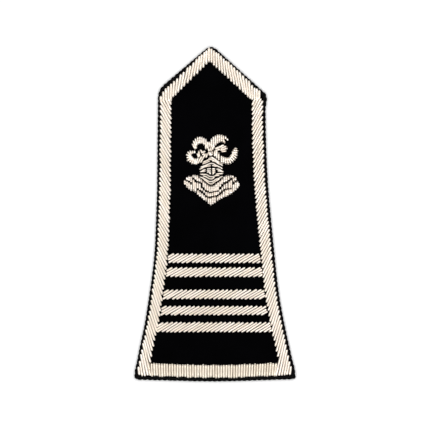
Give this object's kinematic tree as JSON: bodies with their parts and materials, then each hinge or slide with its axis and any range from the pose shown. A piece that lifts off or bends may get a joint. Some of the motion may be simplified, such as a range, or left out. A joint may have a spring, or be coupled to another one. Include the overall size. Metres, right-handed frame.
{
  "type": "shoulder board",
  "caption": "Stiff flared shoulder board faced with velvet, edged with cord, with a padded bullion border, rank bars and a raised helm badge, lying on its back.",
  "frame": {"origin": "middle of the board's back, where it rests", "axes": "+Z out of the embroidered face, +Y towards the point, +X to the right of a viewer who faces it"},
  "size_m": [0.0683, 0.1407, 0.0062],
  "materials": {
    "back_cloth": "plain woven cloth, matt",
    "velvet": "deep pile velvet",
    "cord": "twisted rayon cord, faint lustre",
    "border_bullion": "smooth coiled bullion wire, satin, pale champagne silver",
    "bar_bullion": "smooth coiled bullion wire, satin, pale champagne silver",
    "emblem_bullion": "fine coiled bullion wire, satin, pale silver"
  },
  "bodies": {
    "root": {"board": "back_cloth", "face_cloth": "velvet", "edge_cord": "cord", "border_left": "border_bullion", "border_right": "border_bullion", "border_peak_left": "border_bullion", "border_peak_right": "border_bullion", "border_foot": "border_bullion", "bar_1": "bar_bullion", "bar_2": "bar_bullion", "bar_3": "bar_bullion", "bar_4": "bar_bullion", "bar_5": "bar_bullion", "plume_upper_left": "emblem_bullion", "plume_inner_left": "emblem_bullion", "plume_lower_left": "emblem_bullion", "plume_upper_right": "emblem_bullion", "plume_inner_right": "emblem_bullion", "plume_root_right": "emblem_bullion", "plume_lower_right": "emblem_bullion", "helm_crown": "emblem_bullion", "helm_visor": "emblem_bullion", "helm_chin": "emblem_bullion", "gorget_collar": "emblem_bullion", "gorget_breast": "emblem_bullion", "gorget_hem": "emblem_bullion"}
  },
  "joints": []
}
